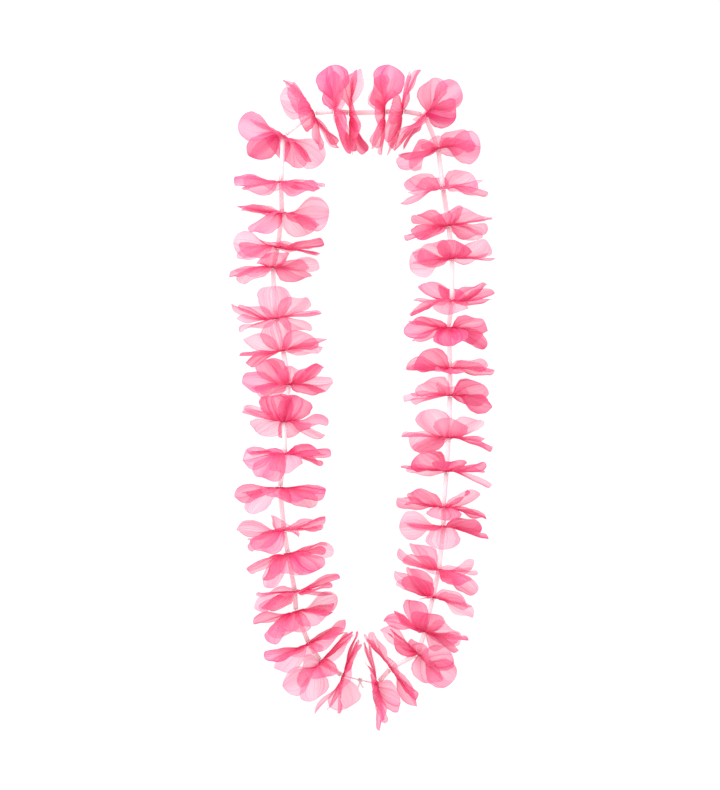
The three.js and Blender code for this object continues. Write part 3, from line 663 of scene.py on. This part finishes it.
def build_straws(places, material):
    """Thin-walled straws on the thread between the flowers, with none in the gap of the knot."""
    rng = np.random.default_rng(STRAW_SEED)
    sides, rings = STRAW_SIDES, STRAW_RINGS
    verts, faces, uv, outside, shift = [], [], [], [], 0
    for index, place in enumerate(places):
        following = places[(index + 1) % len(places)]
        if index == KNOT_AFTER:
            continue
        way = (following["centre"] - place["centre"]) / place["pitch"]
        start = straw_end(place, way)
        end = place["pitch"] - straw_end(following, way)
        side = np.cross(way, UP)
        drop = STRAW_OUTER_RADIUS - STRAW_WALL - THREAD_RADIUS
        oval = rng.uniform(0, STRAW_OVAL)
        slant_a, slant_b = rng.uniform(-STRAW_SLANT, STRAW_SLANT, 2)
        angle = np.arange(sides) * 2 * math.pi / sides
        wide = 1 + oval * np.cos(2 * angle + rng.uniform(0, PHASES))
        profile, milk = [], []
        for wall, order in ((0, np.linspace(0, 1, rings)), (STRAW_WALL, np.linspace(1, 0, rings))):
            for share in order:
                run = start + (end - start) * share
                slant = (slant_a * (1 - share) + slant_b * share) * STRAW_OUTER_RADIUS * np.cos(angle)
                pinch = 1 + STRAW_PINCH * math.sin(share * PINCH_WAVES + index)
                radius = (STRAW_OUTER_RADIUS - wall) * wide * pinch
                ring = place["centre"] - UP * drop * HANG_SHARE + way * (run + slant[:, None] / 2)
                ring = ring + radius[:, None] * (np.cos(angle)[:, None] * side + np.sin(angle)[:, None] * UP)
                profile.append(ring)
                milk += [0.0 if wall else 1.0] * sides
        count = len(profile)
        points = np.stack(profile)
        verts.append(points.reshape(-1, 3))
        outside += milk
        grid = np.arange(count * sides).reshape(count, sides)
        below = np.roll(grid, -1, axis=0)
        quads = np.stack([grid.ravel(), np.roll(grid, -1, axis=1).ravel(),
                          np.roll(below, -1, axis=1).ravel(), below.ravel()], axis=1) + shift
        faces.append(quads)
        around = np.broadcast_to(angle / (2 * math.pi), (count, sides))
        reach = np.linspace(0, (end - start) / TEXTURE_UNIT, count)
        runs = np.broadcast_to(reach[:, None], (count, sides))
        uv.append(np.stack([around + index, runs + index * 3], axis=-1).reshape(-1, 2))
        shift += count * sides
    straws = make_mesh("straws", np.concatenate(verts), np.concatenate(faces), material,
                       [("outside", outside)], [("cloth", np.concatenate(uv))])
    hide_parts("strand")


class Nodes:
    """A short way to add and join the nodes of a material."""

    def __init__(self, name):
        self.material = bpy.data.materials.new(name)
        self.material.use_nodes = True
        self.tree = self.material.node_tree
        self.tree.nodes.clear()

    def add(self, kind, settings=None, **inputs):
        node = self.tree.nodes.new("ShaderNode" + kind)
        for key, value in (settings or {}).items():
            setattr(node, key, value)
        for key, value in inputs.items():
            self.set(node, key.replace("_", " "), value)
        return node

    def set(self, node, key, value):
        socket = node.inputs[int(key) if key.isdigit() else key]
        if isinstance(value, bpy.types.NodeSocket):
            self.tree.links.new(value, socket)
        else:
            socket.default_value = value

    def math(self, operation, a, b=0.0):
        node = self.tree.nodes.new("ShaderNodeMath")
        node.operation = operation
        self.set(node, "0", a)
        self.set(node, "1", b)
        return node.outputs[0]

    def total(self, start, shares, patterns):
        """The start, plus the share of each pattern that is named."""
        for name, share in shares.items():
            start = self.math("ADD", start, self.math("MULTIPLY", patterns[name], share))
        return start

    def attribute(self, name):
        return self.add("Attribute", {"attribute_name": name}).outputs["Fac"]

    def uv(self, name):
        return self.add("UVMap", {"uv_map": name}).outputs[0]

    def mix_shader(self, factor, first, second):
        node = self.add("MixShader", Fac=factor)
        self.set(node, "1", first)
        self.set(node, "2", second)
        return node.outputs[0]

    def finish(self, surface):
        self.set(self.add("OutputMaterial"), "Surface", surface)
        return self.material

    def mix(self, factor, a, b):
        node = self.tree.nodes.new("ShaderNodeMix")
        node.data_type = "RGBA"
        for key, value in ((0, factor), (6, a), (7, b)):
            if isinstance(value, bpy.types.NodeSocket):
                self.tree.links.new(value, node.inputs[key])
            else:
                node.inputs[key].default_value = value
        return node.outputs[2]


def petal_material():
    """Sheer fabric: part of the light goes on through, tinted, and the rest is lit from both sides."""
    n = Nodes("petal_fabric")
    cloth = n.uv("cloth")
    fan = n.uv("fan")
    patterns = {name: n.attribute(name) for name in ("tone", "rim", "root", "fold")}
    rays = n.add("Mapping", Vector=fan, Scale=(5.0, 0.5, 1.0)).outputs[0]
    patterns["streak"] = n.add("TexNoise", Vector=rays, Scale=1.6, Detail=4.0, Roughness=0.6).outputs[0]
    ribs = n.add("Mapping", Vector=fan, Scale=(8.0, 0.3, 1.0)).outputs[0]
    rib = n.add("TexNoise", Vector=ribs, Scale=1.3, Detail=1.5, Distortion=0.3).outputs[0]
    patterns["rib"] = rib
    pleat = n.math("MULTIPLY", n.math("SUBTRACT", rib, PLEAT_FROM), PLEAT_SHARPNESS)
    patterns["pleat"] = n.math("MINIMUM", n.math("MAXIMUM", pleat, 0.0), 1.0)
    patterns["cloud"] = n.add("TexNoise", Vector=cloth, Scale=1.1, Detail=3.0).outputs[0]
    warp, weft = (n.add("TexWave", {"bands_direction": way}, Vector=cloth, Scale=9.0, Distortion=0.6).outputs[1]
                  for way in "XY")
    patterns["weave"] = n.math("MULTIPLY", n.math("ADD", warp, weft), 0.5)
    # The fold pattern here paints shade: lighter pink on the folds' ridges, darker in their hollows
    ramp = n.add("ValToRGB", Fac=n.total(LIGHTNESS_START, LIGHTNESS_SHARES, patterns))
    ramp.color_ramp.elements[0].color = DEEP_PINK
    ramp.color_ramp.elements[0].position = 0.0
    ramp.color_ramp.elements[1].color = PALE_PINK
    ramp.color_ramp.elements[1].position = 1.0
    ramp.color_ramp.elements.new(ROSE_PLACE).color = ROSE_PINK
    color = n.mix(n.math("MULTIPLY", patterns["rim"], RIM_TINT), ramp.outputs[0], DEEP_PINK)
    color = n.mix(n.math("MULTIPLY", patterns["weave"], WEAVE_TINT), color, DEEP_PINK)
    height = n.total(0.0, BUMP_SHARES, patterns)
    bump = n.add("Bump", Strength=0.6, Distance=0.0006, Height=height).outputs[0]
    surface = n.add("BsdfPrincipled", Base_Color=color, Roughness=0.62, Specular_IOR_Level=0.25,
                    Sheen_Weight=0.2, Sheen_Roughness=0.5, Sheen_Tint=SHEEN_TINT, Normal=bump)
    through = n.add("BsdfTranslucent", Color=color, Normal=bump).outputs[0]
    clear = n.add("BsdfTransparent", Color=SHEER_TINT).outputs[0]
    lit = n.mix_shader(FABRIC_THROUGH, surface.outputs[0], through)
    opacity = n.math("MINIMUM", n.total(OPACITY_START, OPACITY_SHARES, patterns), 1.0)
    return n.finish(n.mix_shader(opacity, clear, lit))


def straw_material():
    """Milky plastic, with fine streaks along the straw. The inner wall is clear."""
    n = Nodes("straw_plastic")
    lines = n.add("Mapping", Vector=n.uv("cloth"), Scale=(14.0, 0.4, 1.0)).outputs[0]
    streak = n.add("TexNoise", Vector=lines, Scale=2.0, Detail=3.0).outputs[0]
    color = n.mix(streak, STRAW_SHADE, WHITE)
    bump = n.add("Bump", Strength=0.2, Distance=0.0002, Height=streak).outputs[0]
    surface = n.add("BsdfPrincipled", Base_Color=color, Roughness=0.28, Normal=bump)
    through = n.add("BsdfTranslucent", Color=color).outputs[0]
    clear = n.add("BsdfTransparent", Color=INNER_TINT).outputs[0]
    lit = n.mix_shader(STRAW_THROUGH, surface.outputs[0], through)
    return n.finish(n.mix_shader(n.math("MULTIPLY", n.attribute("outside"), STRAW_MILK), clear, lit))


def thread_material():
    """White twisted fibre that lets some light through."""
    n = Nodes("thread_fibre")
    place = n.add("TexCoord").outputs["Object"]
    fuzz = n.add("TexNoise", Vector=place, Scale=4000.0, Detail=4.0).outputs[0]
    color = n.mix(fuzz, THREAD_SHADE, WHITE)
    bump = n.add("Bump", Strength=0.4, Distance=0.0001, Height=fuzz).outputs[0]
    surface = n.add("BsdfPrincipled", Base_Color=color, Roughness=0.8, Normal=bump)
    through = n.add("BsdfTranslucent", Color=color).outputs[0]
    return n.finish(n.mix_shader(THREAD_THROUGH, surface.outputs[0], through))


def floor_material():
    """A floor that is white by a glow of its own, as a light table is, so that no shadow greys it."""
    n = Nodes("pale_floor")
    surface = n.add("BsdfPrincipled", Base_Color=FLOOR_GREY, Roughness=0.9, Emission_Color=WHITE,
                    Emission_Strength=FLOOR_GLOW)
    return n.finish(surface.outputs[0])


def build_stage():
    """The floor, the light from all round and the lamps, and the settings that the sheer sheets need."""
    scene = bpy.context.scene
    mesh = bpy.data.meshes.new("floor")
    half = FLOOR_HALF
    corners = [(-half, -half, 0), (half, -half, 0), (half, half, 0), (-half, half, 0)]
    mesh.from_pydata(corners, [], [(0, 1, 2, 3)])
    mesh.materials.append(floor_material())
    floor = bpy.data.objects.new("floor", mesh)
    scene.collection.objects.link(floor)

    world = bpy.data.worlds.new("studio")
    world.use_nodes = True
    sky = world.node_tree.nodes["Background"]
    sky.inputs["Color"].default_value = WHITE
    sky.inputs["Strength"].default_value = SKY_STRENGTH
    scene.world = world
    for name, place, size, energy in LAMPS:
        light = bpy.data.lights.new(name, "AREA")
        light.size = size
        light.energy = energy
        lamp = bpy.data.objects.new(name, light)
        lamp.location = place
        aim = -np.array(place)
        tilt = math.atan2(math.hypot(aim[0], aim[1]), -aim[2])
        lamp.rotation_euler = (tilt, 0, math.atan2(-aim[0], aim[1]))
        scene.collection.objects.link(lamp)
    scene.view_settings.view_transform = "Standard"
    scene.cycles.transparent_max_bounces = SHEER_LAYERS


def build_camera():
    """Straight above, where the frame shows what the photo's shows."""
    x = (FRAME_WIDE / 2 - PIXEL_MIDDLE[0]) * PIXEL - CENTRING[0]
    y = (PIXEL_MIDDLE[1] - FRAME_HIGH / 2) * PIXEL - CENTRING[1]
    data = bpy.data.cameras.new("camera")
    data.sensor_width = SENSOR_WIDTH
    data.lens = data.sensor_width * CAMERA_DISTANCE / (FRAME_HIGH * PIXEL * MM)
    data.dof.use_dof = False
    data.clip_end = CLIP_END
    camera = bpy.data.objects.new("camera", data)
    camera.location = (x * MM, y * MM, THREAD_HEIGHT * MM + CAMERA_DISTANCE)
    camera.rotation_euler = (0, 0, 0)
    bpy.context.scene.collection.objects.link(camera)
    bpy.context.scene.camera = camera


places = place_flowers()
draw = seeded_spread(SEED)
flowers = [lay_petals(index, draw) for index in range(len(FLOWERS))]
settle_petals(places, flowers)

fabric = petal_material()
for index, place in enumerate(places):
    build_flower(index, place, flowers[index], fabric)
build_thread(places, thread_material())
build_straws(places, straw_material())
build_stage()
build_camera()
